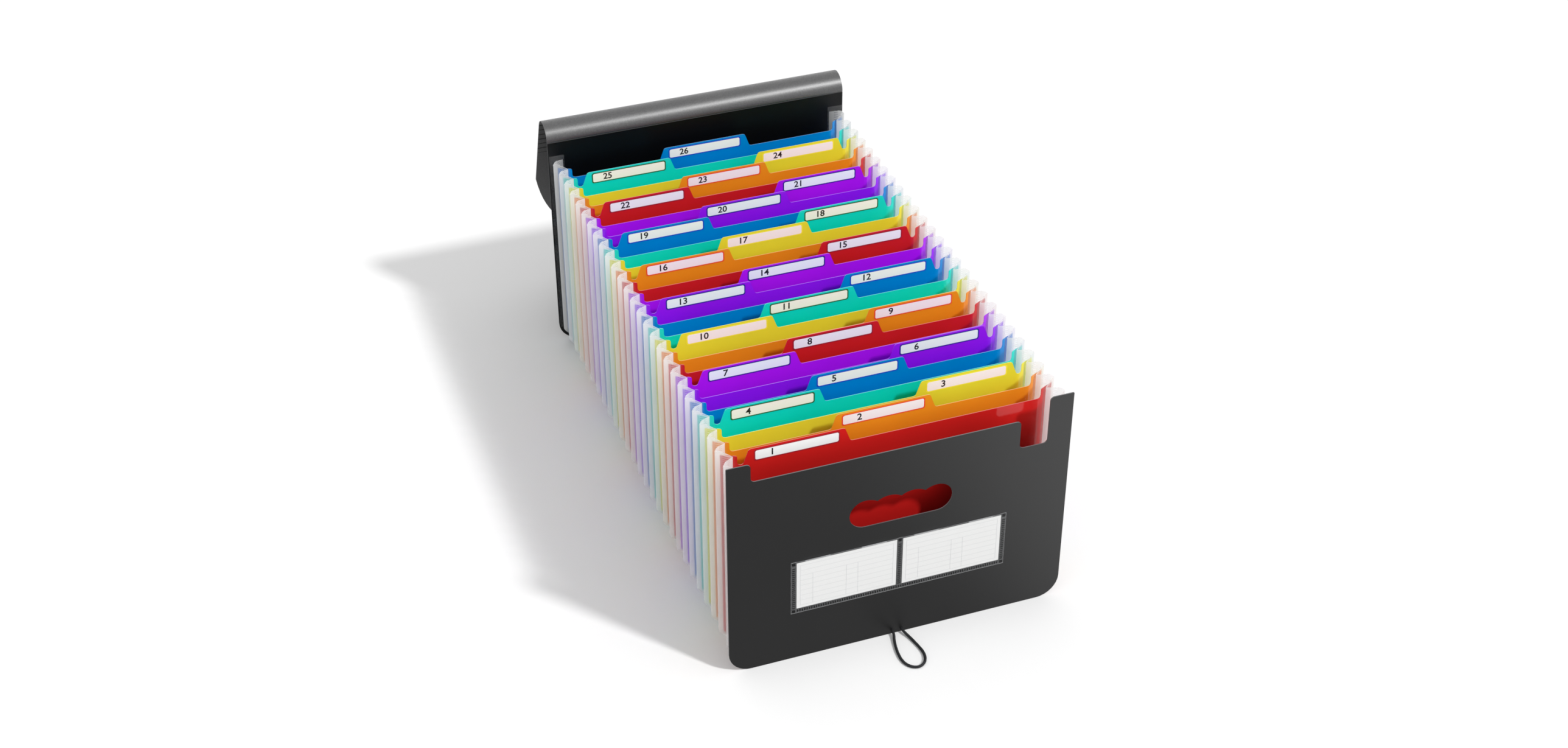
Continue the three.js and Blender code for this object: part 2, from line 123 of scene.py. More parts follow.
# %% A socket that takes part in expressions
class Socket:
    def __init__(self, graph, socket):
        self.graph = graph
        self.socket = socket

    def other(self, name):
        return Socket(self.graph, self.socket.node.outputs[name])

    def maths(self, operation, first, second=0.0):
        return self.graph.node("ShaderNodeMath", {"operation": operation}, {0: first, 1: second})

    def __add__(self, other):
        return self.maths("ADD", self, other)

    def __radd__(self, other):
        return self.maths("ADD", other, self)

    def __sub__(self, other):
        return self.maths("SUBTRACT", self, other)

    def __rsub__(self, other):
        return self.maths("SUBTRACT", other, self)

    def __mul__(self, other):
        return self.maths("MULTIPLY", self, other)

    def __rmul__(self, other):
        return self.maths("MULTIPLY", other, self)

    def __truediv__(self, other):
        return self.maths("DIVIDE", self, other)

    def __abs__(self):
        return self.maths("ABSOLUTE", self)

    def __gt__(self, other):
        return self.maths("GREATER_THAN", self, other)

    def __lt__(self, other):
        return self.maths("LESS_THAN", self, other)

    def fraction(self):
        return self.maths("FRACT", self)

    def larger(self, other):
        return self.maths("MAXIMUM", self, other)


# %% The tree that makes its own nodes
class Graph:
    def __init__(self, tree):
        self.tree = tree
        tree.nodes.clear()

    def node(self, kind, settings=None, inputs=None, output=0):
        made = self.tree.nodes.new(kind)
        for name, value in (settings or {}).items():
            setattr(made, name, value)
        for key, value in (inputs or {}).items():
            for item in value if isinstance(value, list) else [value]:
                if isinstance(item, Socket):
                    self.tree.links.new(item.socket, made.inputs[key])
                else:
                    made.inputs[key].default_value = item
        return Socket(self, made.outputs[output]) if made.outputs else made

    def place(self):
        return self.node("ShaderNodeTexCoord", output="Object")

    def axes(self, vector):
        x = self.node("ShaderNodeSeparateXYZ", None, {0: vector})
        return x, x.other("Y"), x.other("Z")

    def noise(self, vector, size, detail=2.0):
        inputs = {"Vector": vector, "Scale": 1 / size, "Detail": detail}
        return self.node("ShaderNodeTexNoise", None, inputs)

    def mix(self, share, first, second):
        return self.node("ShaderNodeMix", {"data_type": "RGBA"}, {0: share, 6: first, 7: second}, 2)

    def toward(self, direction):
        """How squarely the surface faces a direction, below zero when it faces away."""
        normal = self.node("ShaderNodeTexCoord", output="Normal")
        turn = {"operation": "DOT_PRODUCT"}
        return self.node("ShaderNodeVectorMath", turn, {0: normal, 1: direction}, "Value")

    def facing(self, direction):
        """How squarely the surface faces along or against a direction."""
        return abs(self.toward(direction))

    def bump(self, height, depth, strength=1.0):
        inputs = {"Strength": strength, "Distance": depth, "Height": height}
        return self.node("ShaderNodeBump", None, inputs)

    def principled(self, **inputs):
        named = {}
        for key, value in inputs.items():
            named[key.replace("_", " ").title().replace("Ior", "IOR")] = value
        return self.node("ShaderNodeBsdfPrincipled", None, named)

    def surface(self, shader):
        self.node("ShaderNodeOutputMaterial", None, {"Surface": shader})


# %% Start a finish, and read a colour as a painter writes it
def new_finish(name):
    finish = bpy.data.materials.new(name)
    finish.use_nodes = True
    return finish, Graph(finish.node_tree)


def colour(red, green, blue):
    """A colour given in the 0 to 255 values of a screen, as linear light."""
    linear = []
    for level in (red, green, blue):
        share = level / 255
        linear.append(share / 12.92 if share <= 0.04045 else ((share + 0.055) / 1.055) ** 2.4)
    return (*linear, 1.0)


def shaded(tone, share):
    """The same hue, darker or lighter."""
    return (*(min(level * share, 1) for level in tone[:3]), 1.0)


LOOKS_ALONG = 0.5
LOOKS_UP = 0.6


def dress(node, finish):
    """Give a solid that stays visible its finish."""
    solid = frame["nodes"][node]
    solid.data.materials.clear()
    solid.data.materials.append(finish)


# %% [markdown]
# ## Meshes from points and faces
#
# Most pieces here are sheets, so they are easiest to write as points and faces. One helper makes the
# mesh, gives it its finishes and keeps only real corners sharp.

# %% Make a piece from its points and faces
SHARP = math.radians(40)


def new_piece(name, points, faces, *finishes):
    mesh = bpy.data.meshes.new(name)
    mesh.from_pydata(points, [], faces)
    mesh.validate()
    for finish in finishes:
        mesh.materials.append(finish)
    mesh.shade_smooth()
    mesh.set_sharp_from_angle(angle=SHARP)
    made = bpy.data.objects.new(name, mesh)
    scene.collection.objects.link(made)
    return made


# %% [markdown]
# ## Elastic loop
#
# A black braided elastic comes out of two holes at the foot of the front panel and lies on the table
# in a drop shape. A curve with a round bevel would give a smooth wire, so the tube is made ring by
# ring instead, and the two sets of crossing strands push its surface out where they lie on top.

# %% Finish of the braided elastic
FIBRE_SIZE = 0.25 * MM
WEAR_SIZE = 6 * MM


def elastic_finish():
    finish, graph = new_finish("braided_elastic")
    place = graph.place()
    fibre = graph.noise(place, FIBRE_SIZE)
    wear = graph.noise(place, WEAR_SIZE)
    shade = graph.mix(fibre * wear, colour(18, 18, 20), colour(58, 58, 62))
    graph.surface(
        graph.principled(
            base_color=shade,
            roughness=0.62 + 0.2 * fibre,
            normal=graph.bump(fibre, 0.06 * MM, 0.6),
            specular_ior_level=0.35,
        )
    )
    return finish


BRAIDED_ELASTIC = elastic_finish()
print("finish:", BRAIDED_ELASTIC.name)

# %% Route of the loop, from its left hole round to its right hole
LOOP_ROUTE = [
    (-4.7, 2, 3.4),
    (-4.7, -2.6, 3.4),
    (-5.5, -6.8, 2.7),
    (-6.9, -11, 1.9),
    (-8.5, -17, 1.6),
    (-9.9, -24, 1.5),
    (-10.7, -31, 1.5),
    (-10.8, -38, 1.5),
    (-9.2, -45, 1.5),
    (-5, -50.4, 1.5),
    (1, -52.3, 1.5),
    (6.6, -49.6, 1.5),
    (10.4, -43.8, 1.5),
    (11.9, -36, 1.5),
    (11.2, -28, 1.5),
    (9.6, -19.5, 1.5),
    (7.8, -12, 1.8),
    (5.9, -6.8, 2.7),
    (4.7, -2.6, 3.4),
    (4.7, 2, 3.4),
]
LOOP_STEPS = 18
loop_points = [Vector(point) * MM + Vector((0, front_low.y, 0)) for point in LOOP_ROUTE]


def smooth_line(points, steps):
    """A curve that passes through every point and turns evenly between them."""
    ends = [2 * points[0] - points[1], *points, 2 * points[-1] - points[-2]]
    line = []
    for a, b, c, d in zip(ends, ends[1:], ends[2:], ends[3:]):
        for step in range(steps):
            t = step / steps
            bend = (2 * a - 5 * b + 4 * c - d) * t**2 + (3 * b - a - 3 * c + d) * t**3
            line.append((2 * b + (c - a) * t + bend) / 2)
    return [*line, points[-1].copy()]


loop_line = smooth_line(loop_points, LOOP_STEPS)
loop_length = sum((b - a).length for a, b in zip(loop_line, loop_line[1:]))
print(f"elastic loop: {loop_length / MM:.1f} mm long")

# %% Braid the tube along the route
CORD_DIAMETER = 2.7 * MM
CORD_SIDES = 24
STRANDS = 6
STRAND_LIFT = 0.09 * MM
STRAND_TWIST = 1.6


def braided_tube(line):
    points = []
    travelled = 0.0
    for i, middle in enumerate(line):
        ahead = (line[min(i + 1, len(line) - 1)] - line[max(i - 1, 0)]).normalized()
        side = ahead.cross(Vector((0, 0, 1))).normalized()
        top = side.cross(ahead)
        if i:
            travelled += (middle - line[i - 1]).length
        twist = STRAND_TWIST * travelled / (CORD_DIAMETER / 2)
        for k in range(CORD_SIDES):
            turn = 2 * math.pi * k / CORD_SIDES
            lift = math.sin(STRANDS * (turn + twist)) * math.sin(STRANDS * (turn - twist))
            radius = CORD_DIAMETER / 2 - STRAND_LIFT + STRAND_LIFT * lift
            points.append(middle + radius * (math.cos(turn) * side + math.sin(turn) * top))
    faces = []
    for i in range(len(line) - 1):
        for k in range(CORD_SIDES):
            near, far = i * CORD_SIDES, (i + 1) * CORD_SIDES
            after = (k + 1) % CORD_SIDES
            faces.append((near + k, far + k, far + after, near + after))
    faces.append(tuple(range(CORD_SIDES)))
    faces.append(tuple(reversed(range(len(points) - CORD_SIDES, len(points)))))
    return points, faces


elastic = new_piece("elastic_loop_braid", *braided_tube(loop_line), BRAIDED_ELASTIC)
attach(elastic, "front")
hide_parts("elastic_loop")
print("loop rings:", len(loop_line), "faces:", len(elastic.data.polygons))

# %% [markdown]
# ## Black sheet
#
# The panels and the lid are stiff black sheet with a fine sand grain on its face and paler cut edges.
# The grain is too small to model, so two sizes of noise bend the light instead. The cut edge is found
# by which way the surface faces, because the sheet's own thickness is the only part that looks
# sideways.

# %% Finish of the black sheet
GRAIN_SIZE = 1.1 * MM
SAND_SIZE = 0.4 * MM
SHADE_SIZE = 60 * MM
COAT_SWING = 2.4
COAT_LOSS = 0.2
COAT_ROUGHNESS = 0.42
CUT_EDGE_TONE = (100, 100, 102)
# The lid's underside is painted much lighter than its upper face: painted light.
UNDERSIDE_PAINTED_LIGHT_TONE = (72, 72, 73)


def black_sheet(name, tone, roughness, shine, grain_depth, cut_edge, underside=None, coat=0.0):
    """Black sheet; cut_edge finds its pale edges, underside the face painted lighter as painted light,
    coat is patchy gloss.
    """
    finish, graph = new_finish(name)
    place = graph.place()
    grain = graph.noise(place, GRAIN_SIZE)
    sand = graph.noise(place, SAND_SIZE)
    cloud = graph.noise(place, SHADE_SIZE)
    face = graph.mix(cloud, shaded(colour(*tone), 0.8), shaded(colour(*tone), 1.2))
    if underside:
        face = graph.mix(underside(graph), face, colour(*UNDERSIDE_PAINTED_LIGHT_TONE))
    graph.surface(
        graph.principled(
            base_color=graph.mix(cut_edge(graph), face, colour(*CUT_EDGE_TONE)),
            roughness=roughness + 0.1 * grain,
            normal=graph.bump(0.6 * grain + 0.4 * sand, grain_depth),
            specular_ior_level=shine,
            coat_weight=coat * (COAT_SWING * grain - COAT_LOSS) if coat else 0.0,
            coat_roughness=COAT_ROUGHNESS,
        )
    )
    return finish


def panel_edge(graph):
    return graph.facing((0, 1, 0)) < LOOKS_ALONG


def side_edge(graph):
    return graph.facing((1, 0, 0)) > LOOKS_ALONG


# %% Finish of the front panel
PANEL_TONE = (11, 11, 12)
PANEL_ROUGHNESS = 0.36
PANEL_SHINE = 0.85
PANEL_GRAIN = 0.05 * MM
PANEL_SHEET = black_sheet(
    "black_panel_sheet", PANEL_TONE, PANEL_ROUGHNESS, PANEL_SHINE, PANEL_GRAIN, panel_edge
)
dress("front_panel", PANEL_SHEET)
print("finish:", PANEL_SHEET.name)

# %% [markdown]
# The rear panel is the same sheet, but its finish paints shade into it: a darker tone and much less
# shine than the front panel, a painted shade for the dark pocket in front of it. It gets a finish of its
# own.

# %% Finish of the rear panel
# A darker tone and a weaker shine than the front panel: painted shade.
REAR_PAINTED_SHADE_TONE = (4, 4, 5)
REAR_PAINTED_SHADE_SHINE = 0.25
REAR_PAINTED_SHADE_SHEET = black_sheet(
    "black_rear_sheet_painted_shade", REAR_PAINTED_SHADE_TONE, PANEL_ROUGHNESS, REAR_PAINTED_SHADE_SHINE, PANEL_GRAIN, side_edge
)
dress("rear_panel", REAR_PAINTED_SHADE_SHEET)
print("finish:", REAR_PAINTED_SHADE_SHEET.name)

# %% [markdown]
# ## Coloured dividers
#
# Each divider is smooth coloured sheet, glossier than the panels, in seven colours that repeat. Its
# cut edges that face up are painted paler than its face, a painted highlight for the light that gathers
# in them. One function makes the finish from a colour, and the flaps that are welded into the pleats
# take their colours from the same table.

# %% Finishes of the seven divider colours
DIVIDER_COLOURS = {
    "red": (210, 33, 31),
    "orange": (236, 150, 33),
    "yellow": (228, 228, 58),
    "teal": (0, 214, 214),
    "blue": (0, 132, 212),
    "violet": (158, 23, 238),
    "purple": (181, 25, 232),
}
DIVIDER_CLOUD = 45 * MM
DIVIDER_GRAIN = 0.5 * MM
DIVIDER_SHINE = 0.45
EDGE_PAINTED_HIGHLIGHT = 0.22


def divider_sheet(name, tone):
    finish, graph = new_finish(f"{name}_divider_sheet")
    place = graph.place()
    cloud = graph.noise(place, DIVIDER_CLOUD)
    grain = graph.noise(place, DIVIDER_GRAIN)
    # Cut edges that face up are mixed towards white: a painted highlight.
    edge = graph.facing((0, 0, 1)) > LOOKS_UP
    face = graph.mix(cloud, shaded(colour(*tone), 0.94), shaded(colour(*tone), 1.06))
    pale = graph.mix(EDGE_PAINTED_HIGHLIGHT, colour(*tone), (1, 1, 1, 1))
    graph.surface(
        graph.principled(
            base_color=graph.mix(edge, face, pale),
            roughness=0.05 + 0.05 * grain,
            normal=graph.bump(grain, 0.02 * MM, 0.1),
            specular_ior_level=DIVIDER_SHINE,
        )
    )
    return finish


DIVIDER_SHEETS = {name: divider_sheet(name, tone) for name, tone in DIVIDER_COLOURS.items()}
COLOUR_NAMES = list(DIVIDER_SHEETS)
print("divider colours:", ", ".join(COLOUR_NAMES))

# %% [markdown]
# The solids keep the dividers flat. The real sheet bends back at both sides, where it goes on into the
# pleats, and the bend catches the light in a narrow band. The imported mesh is cut along a few upright
# lines near its edges and each line is moved back on an arc. The bent sheet moves with its divider.

# %% Bend the sides of the dividers
ACCORDION = next(joint for joint in frame["joints"] if joint["name"] == "accordion")
row_length = rear_low.y - front_high.y
CLOSED_SHARE = 1 - ACCORDION["range_m"][1] / row_length
MERGE_REACH = 0.01 * MM
MARGIN = 9 * MM
MARGIN_STEPS = 6
MARGIN_ANGLE = math.radians(32)
MARGIN_RADIUS = MARGIN / math.sin(MARGIN_ANGLE)


def margin_depth(x):
    past = max(abs(x) - (DIVIDER_EDGE - MARGIN), 0)
    return MARGIN_RADIUS - math.sqrt(MARGIN_RADIUS**2 - past**2)


def merged(shape):
    """Points and faces of a bmesh, with doubles merged and faces outwards; the bmesh is used up."""
    bmesh.ops.remove_doubles(shape, verts=shape.verts, dist=MERGE_REACH)
    bmesh.ops.recalc_face_normals(shape, faces=shape.faces)
    shape.verts.index_update()
    points = [point.co.copy() for point in shape.verts]
    faces = [tuple(point.index for point in face.verts) for face in shape.faces]
    shape.free()
    return points, faces


def bent_divider(node):
    sheet = bmesh.new()
    sheet.from_mesh(frame["nodes"][node].data)
    bmesh.ops.remove_doubles(sheet, verts=sheet.verts, dist=MERGE_REACH)
    for side in (-1, 1):
        for k in range(-1, MARGIN_STEPS):
            cut = side * (DIVIDER_EDGE - MARGIN + MARGIN * k / MARGIN_STEPS)
            everything = [*sheet.verts, *sheet.edges, *sheet.faces]
            bmesh.ops.bisect_plane(sheet, geom=everything, plane_co=(cut, 0, 0), plane_no=(1, 0, 0))
    points, faces = merged(sheet)
    return [(p.x, p.y + margin_depth(p.x), p.z) for p in points], faces


divider_faces = 0
for i, node in enumerate(DIVIDERS):
    name = COLOUR_NAMES[i % len(COLOUR_NAMES)]
    sheet = new_piece(f"divider_sheet_{i + 1:02d}", *bent_divider(node), DIVIDER_SHEETS[name])
    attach(sheet, node)
    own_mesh(sheet)
    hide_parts(node)
    divider_faces += len(sheet.data.polygons)
print("dividers:", len(DIVIDERS), "faces:", divider_faces)

# %% [markdown]
# ## Milky film
#
# The pleats are thin milky film. It scatters some light back, passes some on and lets some straight
# through, so three shaders share it. Heat welding drives most of the milk out, so each weld is a short
# clearer dash, and more of what lies behind shows there. The dashes could be small solids, but a solid
# can't make film clearer, so the finish thins the milk instead. It finds them on a map that follows
# the folds: across it counts the walls, upwards it is the height. Where the film is welded flat to a
# black panel it is clear all over, which is a second finish.

# %% Finishes of the film
FILM_TONE = (253, 253, 253)
FILM_CLOUD = 18 * MM
RIM_COVER = 0.9
WELD_CLARITY = 0.6
WELD_PITCH = 2.2 * MM
WELD_SHARE = 0.3
WELD_LOW = 28 * MM
WELD_TOP = SHOULDER_TOP + 4 * MM
LONG_WELD = (0.35, 0.21)
SHORT_WELD = (1.55, 0.13)
PLEAT_MAP = "pleats"


def clear_dashes(graph):
    """Where the welds are: long ones on the wall behind a divider, short ones on the next wall."""
    folds = graph.node("ShaderNodeUVMap", {"uv_map": PLEAT_MAP}, output="UV")
    along, up, _ = graph.axes(folds)
    wall = 2 * (along / 2).fraction()
    dashes = [abs(wall - middle) < reach for middle, reach in (LONG_WELD, SHORT_WELD)]
    column = dashes[0].larger(dashes[1]) * (up > WELD_LOW) * (up < WELD_TOP)
    return column * ((up / WELD_PITCH).fraction() < WELD_SHARE)


def milky_film(name, tone, cover, through, rim_cover, windows=None):
    """Film that hides this share of what is behind it and passes this share of light on."""
    finish, graph = new_finish(name)
    place = graph.place()
    cloud = graph.noise(place, FILM_CLOUD)
    body = graph.principled(
        base_color=graph.mix(cloud, colour(*tone), shaded(colour(*tone), 0.96)),
        roughness=0.3 + 0.1 * cloud,
    )
    glow = graph.node("ShaderNodeBsdfTranslucent", None, {"Color": colour(*tone)})
    milk = graph.node("ShaderNodeMixShader", None, {0: through, 1: body, 2: glow})
    clear = graph.node("ShaderNodeBsdfTransparent")
    rim = rim_cover * (graph.facing((0, 0, 1)) > LOOKS_UP)
    share = (cover + 0.04 * cloud).larger(rim)
    if windows:
        share = share * (1 - WELD_CLARITY * windows(graph))
    graph.surface(graph.node("ShaderNodeMixShader", None, {0: share, 1: clear, 2: milk}))
    return finish


PLEAT_FILM = milky_film(
    "milky_pleat_film", FILM_TONE, cover=0.44, through=0.75, rim_cover=RIM_COVER, windows=clear_dashes
)
BELLOWS_FILM = milky_film("milky_bellows_film", FILM_TONE, cover=0.34, through=0.55, rim_cover=RIM_COVER)
WELDED_FILM = milky_film("film_welded_flat", FILM_TONE, cover=0.01, through=0.2, rim_cover=0.25)
print("finishes:", PLEAT_FILM.name, BELLOWS_FILM.name, WELDED_FILM.name)

# %% [markdown]
# ## Pleated sides
#
# Each side is one strip of film, folded inwards at every divider and outwards between them. Its top
# climbs towards the outer folds and is rounded off there. It is drawn as a folded line seen from
# above, with a small bend at each fold, and raised between a lower and an upper edge.

# %% Places of the folds, seen from above
FILM = 0.3 * MM
WELD_GAP = 0.3 * MM
FOLD_INSET = 2 * MM
PLEAT_DEPTH = 13.4 * MM
OUTER_FOLD = HALF_WIDTH - FOLD_INSET
INNER_FOLD = OUTER_FOLD - PLEAT_DEPTH
FOLD_BEND = 0.9 * MM
BEND_STEPS = 4
WALL_STEPS = 8

film_front = front_high.y + WELD_GAP + FILM / 2
film_rear = rear_low.y - WELD_GAP - FILM / 2
inner_places = [film_front, *divider_middles, film_rear]
fold_points = []
for place, after in zip(inner_places, inner_places[1:]):
    fold_points.append(Vector((INNER_FOLD, place)))
    fold_points.append(Vector((OUTER_FOLD, (place + after) / 2)))
fold_points.append(Vector((INNER_FOLD, film_rear)))
print("folds on each side:", len(fold_points))

# %% Round the folds and thicken the line
def bent_line(corners, radius):
    """The line through the corners, each of them rounded, with extra points along its walls."""
    line = [corners[0]]
    for before, corner, after in zip(corners, corners[1:], corners[2:]):
        back = (before - corner).normalized()
        ahead = (after - corner).normalized()
        start, end = corner + radius * back, corner + radius * ahead
        last = line[-1]
        line += [last.lerp(start, k / WALL_STEPS) for k in range(1, WALL_STEPS)]
        for k in range(BEND_STEPS + 1):
            t = k / BEND_STEPS
            line.append(start.lerp(corner, t).lerp(corner.lerp(end, t), t))
    last = line[-1]
    line += [last.lerp(corners[-1], k / WALL_STEPS) for k in range(1, WALL_STEPS + 1)]
    return line


def two_faces(line, thickness):
    """Both faces of a sheet whose middle is the line."""
    pairs = []
    for i, point in enumerate(line):
        along = (line[min(i + 1, len(line) - 1)] - line[max(i - 1, 0)]).normalized()
        out = Vector((-along.y, along.x)) * thickness / 2
        pairs.append((point + out, point - out))
    return pairs


fold_line = bent_line(fold_points, FOLD_BEND)
print("points along one side:", len(fold_line))

# %% Height of the film along a pleat
gusset_low, gusset_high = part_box("gusset_right")
FILM_LOW = gusset_low.z
OUTER_TOP = gusset_high.z
FILM_CLIMB = 5.5 * MM
INNER_TOP = OUTER_TOP - FILM_CLIMB
FLANGE = (gusset_low.x, gusset_high.x)
FILM_ROUND = 6 * MM


def rounding(x):
    """How much the rounded outer corner takes off at this distance from the middle."""
    past = min(max(abs(x) - (OUTER_FOLD - FILM_ROUND), 0), FILM_ROUND)
    return FILM_ROUND - math.sqrt(FILM_ROUND**2 - past**2)


def film_heights(x):
    share = (abs(x) - INNER_FOLD) / (OUTER_FOLD - INNER_FOLD)
    top = INNER_TOP + FILM_CLIMB * share
    return FILM_LOW + rounding(x), top - rounding(x)


print(f"film stands from {FILM_LOW / MM:.1f} to {OUTER_TOP / MM:.1f} mm")

# %% Closed sheets from rings of four corners
def sheet_faces(count):
    """Faces of a closed sheet made of this many rings of four corners."""
    last = 4 * (count - 1)
    faces = [(3, 2, 1, 0), (last, last + 1, last + 2, last + 3)]
    for a in range(0, last, 4):
        faces += [(a + k, a + (k + 1) % 4, a + 4 + (k + 1) % 4, a + 4 + k) for k in range(4)]
    return faces


def upright_sheet(pairs, heights):
    """A closed upright sheet between pairs of points seen from above."""
    points = []
    for left, right in pairs:
        low, high = heights(left.x)
        points += [(left.x, left.y, low), (left.x, left.y, high)]
        points += [(right.x, right.y, high), (right.x, right.y, low)]
    return points, sheet_faces(len(pairs))


def joined(*solids):
    """Several lists of points and faces as one."""
    points, faces = [], []
    for some_points, some_faces in solids:
        start = len(points)
        points += some_points
        faces += [tuple(start + k for k in face) for face in some_faces]
    return points, faces


# %% Map the film by its walls
def wall_count(point):
    """How many walls of the pleats come before a point of the folded line, with the part of its own."""
    pleat = sum(place <= point.y for place in inner_places[1:-1])
    outwards = (point.x - INNER_FOLD) / (OUTER_FOLD - INNER_FOLD)
    behind_divider = point.y < (inner_places[pleat] + inner_places[pleat + 1]) / 2
    return 2 * pleat + (outwards if behind_divider else 2 - outwards)


def map_folds(film):
    """Lay out the film by its walls and its height; the flat flanges stay at the map's corner."""
    counts = [wall_count(point) for point in fold_line]
    film_map = film.data.uv_layers.new(name=PLEAT_MAP)
    for loop in film.data.loops:
        ring = loop.vertex_index // 4
        if ring < len(counts):
            height = film.data.vertices[loop.vertex_index].co.z
            film_map.data[loop.index].uv = (counts[ring], height)


print("walls on each side:", round(wall_count(fold_line[-1])))

# %% One side with its welded flanges
def gusset_film(name, side, node):
    line = [Vector((side * point.x, point.y)) for point in fold_line]
    solids = [upright_sheet(two_faces(line, FILM), film_heights)]
    pleat_faces = len(solids[0][1])
    for place in (film_front, film_rear):
        flange = [Vector((side * x, place)) for x in FLANGE]
        solids.append(upright_sheet(two_faces(flange, FILM), lambda x: (FILM_LOW, OUTER_TOP)))
    film = new_piece(name, *joined(*solids), PLEAT_FILM, WELDED_FILM)
    for face in film.data.polygons[pleat_faces:]:
        face.material_index = 1
    map_folds(film)
    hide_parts(node)
    return film


# %% [markdown]
# When the file is pushed together the film has to fold flat between the dividers. Its real folds
# close like a concertina, which is the same as flattening the whole strip along the row. Here the film
# is only tied to the rear panel's body and is not flattened.

# %% Make both sides and tie them to the rear panel's body
def close_with_panel(piece):
    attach(piece, "rear")
    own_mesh(piece)


for name, side in (("left", -1), ("right", 1)):
    film = gusset_film(f"gusset_film_{name}", side, f"gusset_{name}")
    close_with_panel(film)
    print(film.name, "faces:", len(film.data.polygons))

# %% [markdown]
# ## Bellows below the dividers
#
# The same film closes the pockets below: it rises under each divider and hangs between them. It is the
# same kind of folded line, seen from the side this time.

# %% Fold the bellows
bellows_low, bellows_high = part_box("base_bellows")
bellows_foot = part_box("loop_stop_left")[1].z + 2 * FILM
bellows_corners = []
for place, after in zip(inner_places, inner_places[1:]):
    bellows_corners.append(Vector((place, bellows_high.z - FILM)))
    bellows_corners.append(Vector(((place + after) / 2, bellows_foot)))
bellows_corners.append(Vector((film_rear, bellows_high.z - FILM)))


def drawn_across(pairs, left, right):
    """A closed sheet with this outline seen from the side, drawn from left to right."""
    points = []
    for upper, lower in pairs:
        points += [(left, upper.x, upper.y), (right, upper.x, upper.y)]
        points += [(right, lower.x, lower.y), (left, lower.x, lower.y)]
    return points, sheet_faces(len(pairs))


bellows_line = two_faces(bent_line(bellows_corners, FOLD_BEND), FILM)
bellows_solid = drawn_across(bellows_line, bellows_low.x, bellows_high.x)
bellows = new_piece("bellows_film", *bellows_solid, BELLOWS_FILM)
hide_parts("base_bellows")
close_with_panel(bellows)
print("bellows faces:", len(bellows.data.polygons))

# %% [markdown]
# ## Welded flaps
#
# Each divider goes on into the pleats: its edges run back as coloured flaps inside the film, which
# give the pleats their tint and show through the clear welds. There are fifty-two flaps in seven
# colours at even steps, which is work for Geometry Nodes. One small tree sets copies of a shape in
# rows and columns, and the pressed marks of the sleeve use it again.

# %% A geometry tree with named inputs
class RepeatTree(Graph):
    def __init__(self, name, sizes):
        super().__init__(bpy.data.node_groups.new(name, "GeometryNodeTree"))
        sockets = {"Geometry": "Geometry", **sizes, "Finish": "Material"}
        for label, kind in sockets.items():
            self.tree.interface.new_socket(label, in_out="INPUT", socket_type=f"NodeSocket{kind}")
        self.tree.interface.new_socket("Geometry", in_out="OUTPUT", socket_type="NodeSocketGeometry")
        self.entry = self.node("NodeGroupInput")

    def given(self, label):
        return self.entry.other(label)

    def row(self, count, step, shape):
        """Copies of a shape at even steps, the first where it already is."""
        line = self.node("GeometryNodeMeshLine", None, {"Count": count, "Offset": step})
        return self.node("GeometryNodeInstanceOnPoints", None, {"Points": line, "Instance": shape})

    def deliver(self, geometry):
        """Make the copies real, give them their finish and hand them out."""
        real = self.node("GeometryNodeRealizeInstances", None, {0: geometry})
        inputs = {"Geometry": real, "Material": self.given("Finish")}
        dressed = self.node("GeometryNodeSetMaterial", None, inputs)
        self.node("NodeGroupOutput", None, {0: dressed})


def grow(piece, repeat, values):
    """Run a repeat on a piece with these values and keep the result as its plain mesh."""
    modifier = piece.modifiers.new(repeat.tree.name, "NODES")
    modifier.node_group = repeat.tree
    for item in repeat.tree.interface.items_tree:
        if item.in_out == "INPUT" and item.name in values:
            modifier[item.identifier] = values[item.name]
    grown = piece.evaluated_get(bpy.context.evaluated_depsgraph_get())
    mesh = bpy.data.meshes.new_from_object(grown)
    piece.modifiers.remove(modifier)
    seed = piece.data
    piece.data = mesh
    bpy.data.meshes.remove(seed)
    return piece


# %% The tree of copies
def copies_tree():
    sizes = {"Row Count": "Int", "Row Step": "Vector", "Column Count": "Int", "Column Step": "Vector"}
    tree = RepeatTree("copies in rows and columns", sizes)
    rows, row_step, columns, column_step = (tree.given(label) for label in sizes)
    row = tree.row(rows, row_step, tree.given("Geometry"))
    tree.deliver(tree.row(columns, column_step, row))
    return tree


COPIES_TREE = copies_tree()
ONCE = (1, (0.0, 0.0, 0.0))


def copied(piece, finish, rows, columns=ONCE):
    """Repeat a piece; rows and columns are each a count and a step."""
    counts = {"Row Count": rows[0], "Column Count": columns[0]}
    steps = {"Row Step": rows[1], "Column Step": columns[1]}
    return grow(piece, COPIES_TREE, {**counts, **steps, "Finish": finish})


print("inputs:", [item.name for item in COPIES_TREE.tree.interface.items_tree])

# %% Shape one flap along the wall behind its divider
FLAP_SHARE = 0.7
FLAP_REST = 0.5
FLAP_SHEET = 0.3 * MM
FLAP_LOW = FILM_LOW + 4 * MM
wall = Vector((OUTER_FOLD - INNER_FOLD, PITCH / 2))
inward = Vector((-wall.y, wall.x)).normalized()


def flap_solid(place, side):
    """From the divider's bent edge to the wall, and then along it."""
    fold = Vector((INNER_FOLD, place)) + inward * (FILM / 2 + FLAP_SHEET)
    edge = Vector((DIVIDER_EDGE, place + margin_depth(DIVIDER_EDGE)))
    line = [edge, fold + FLAP_REST * wall, fold + FLAP_SHARE * wall]
    line = [Vector((side * point.x, point.y)) for point in line]
    return upright_sheet(two_faces(line, FLAP_SHEET), lambda x: (FLAP_LOW, SHOULDER_TOP))


